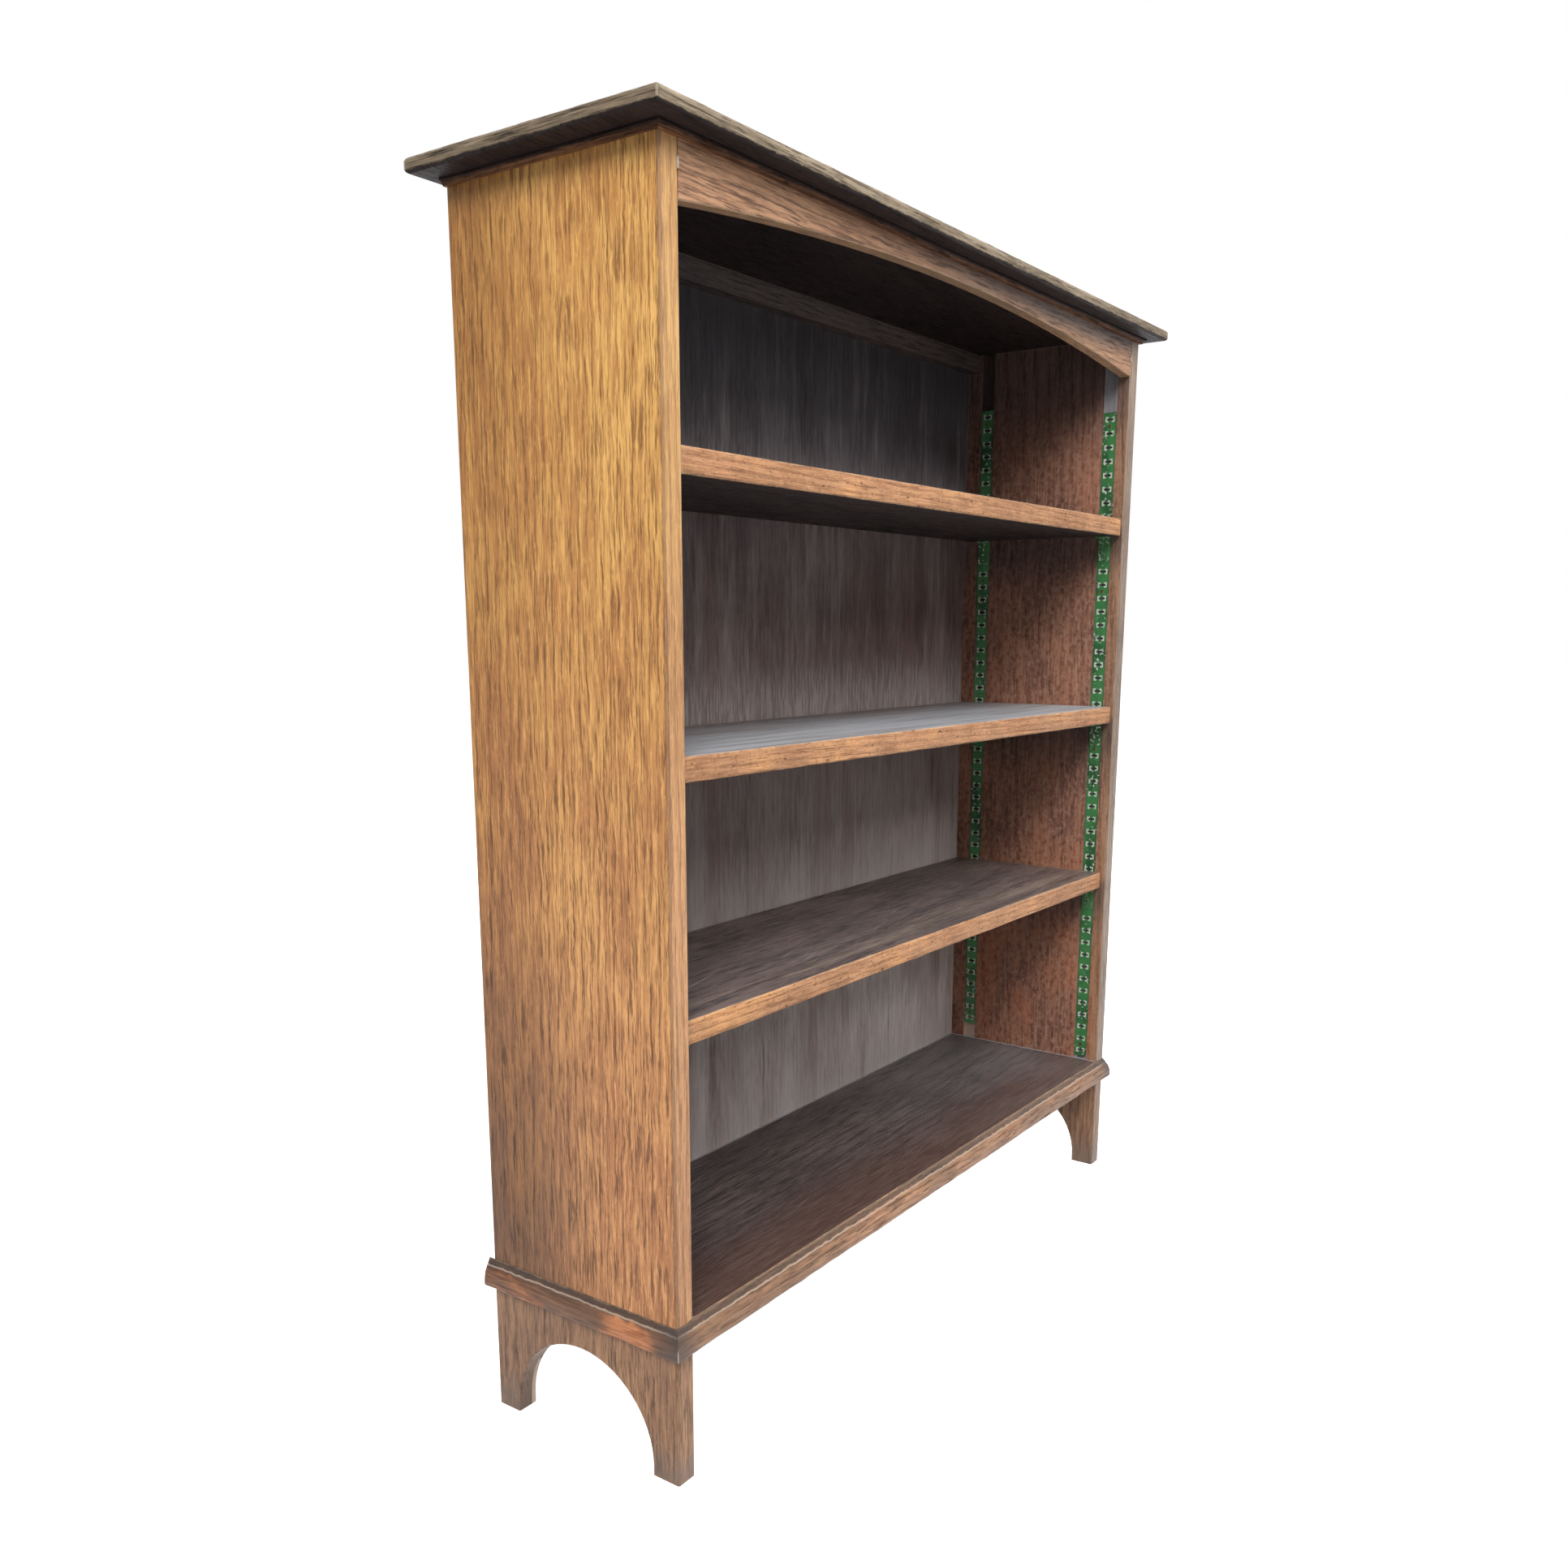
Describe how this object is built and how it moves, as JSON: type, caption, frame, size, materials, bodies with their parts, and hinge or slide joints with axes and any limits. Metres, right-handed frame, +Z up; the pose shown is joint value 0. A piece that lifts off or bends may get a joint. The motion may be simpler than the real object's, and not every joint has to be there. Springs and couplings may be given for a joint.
{
  "type": "open-front bookcase",
  "caption": "Open-front oak bookcase: adjustable shelves on slotted metal strips, mitred mouldings, arched frieze and side panels cut as arched feet.",
  "frame": {"origin": "floor level, under the middle of the top board", "axes": "+Z up, the open front looks towards -Y, +X to the right seen from the front"},
  "size_m": [1.076, 0.294, 1.219],
  "materials": {
    "oak_top": "worn waxed dark oak",
    "oak_moulding": "worn stained oak",
    "oak_side": "golden ochre stained oak, redder lower down",
    "oak_frieze": "reddish stained oak",
    "oak_floor": "very dark stained oak",
    "oak_shelf": "dark oak board with a worn tan front edge",
    "back_sheet": "thin greyed brown sheet with upright grain",
    "strip_green": "green painted strip",
    "clip_green": "green painted clip",
    "screw_brass": "dull brass",
    "dowel_beech": "plain beech",
    "block_pine": "plain pine"
  },
  "bodies": {
    "case": {"back_panel": "back_sheet", "base_corner_blocks_left": "block_pine", "base_corner_blocks_right": "block_pine", "base_moulding_front": "oak_moulding", "base_moulding_left": "oak_moulding", "base_moulding_right": "oak_moulding", "bottom_board": "oak_floor", "clip_lower_left_front": "clip_green", "clip_lower_left_rear": "clip_green", "clip_lower_right_front": "clip_green", "clip_lower_right_rear": "clip_green", "clip_middle_left_front": "clip_green", "clip_middle_left_rear": "clip_green", "clip_middle_right_front": "clip_green", "clip_middle_right_rear": "clip_green", "clip_upper_left_front": "clip_green", "clip_upper_left_rear": "clip_green", "clip_upper_right_front": "clip_green", "clip_upper_right_rear": "clip_green", "frieze_rail": "oak_frieze", "side_panel_left": "oak_side", "side_panel_right": "oak_side", "strip_left_front": "strip_green", "strip_left_rear": "strip_green", "strip_right_front": "strip_green", "strip_right_rear": "strip_green", "strip_screws_left_front": "screw_brass", "strip_screws_left_rear": "screw_brass", "strip_screws_right_front": "screw_brass", "strip_screws_right_rear": "screw_brass", "top_board": "oak_top", "top_corner_blocks": "block_pine", "top_dowels_left": "dowel_beech", "top_dowels_right": "dowel_beech", "top_moulding_front": "oak_moulding", "top_moulding_left": "oak_moulding", "top_moulding_right": "oak_moulding", "top_rear_rail": "oak_frieze"},
    "upper_shelf": {"shelf_upper": "oak_shelf"},
    "middle_shelf": {"shelf_middle": "oak_shelf"},
    "lower_shelf": {"shelf_lower": "oak_shelf"}
  },
  "joints": [
    {"name": "upper_shelf_slide", "type": "slide", "parent": "case", "child": "upper_shelf", "axis": [0, -1, 0], "range_m": [0, 0.28]},
    {"name": "middle_shelf_slide", "type": "slide", "parent": "case", "child": "middle_shelf", "axis": [0, -1, 0], "range_m": [0, 0.28]},
    {"name": "lower_shelf_slide", "type": "slide", "parent": "case", "child": "lower_shelf", "axis": [0, -1, 0], "range_m": [0, 0.28]}
  ]
}
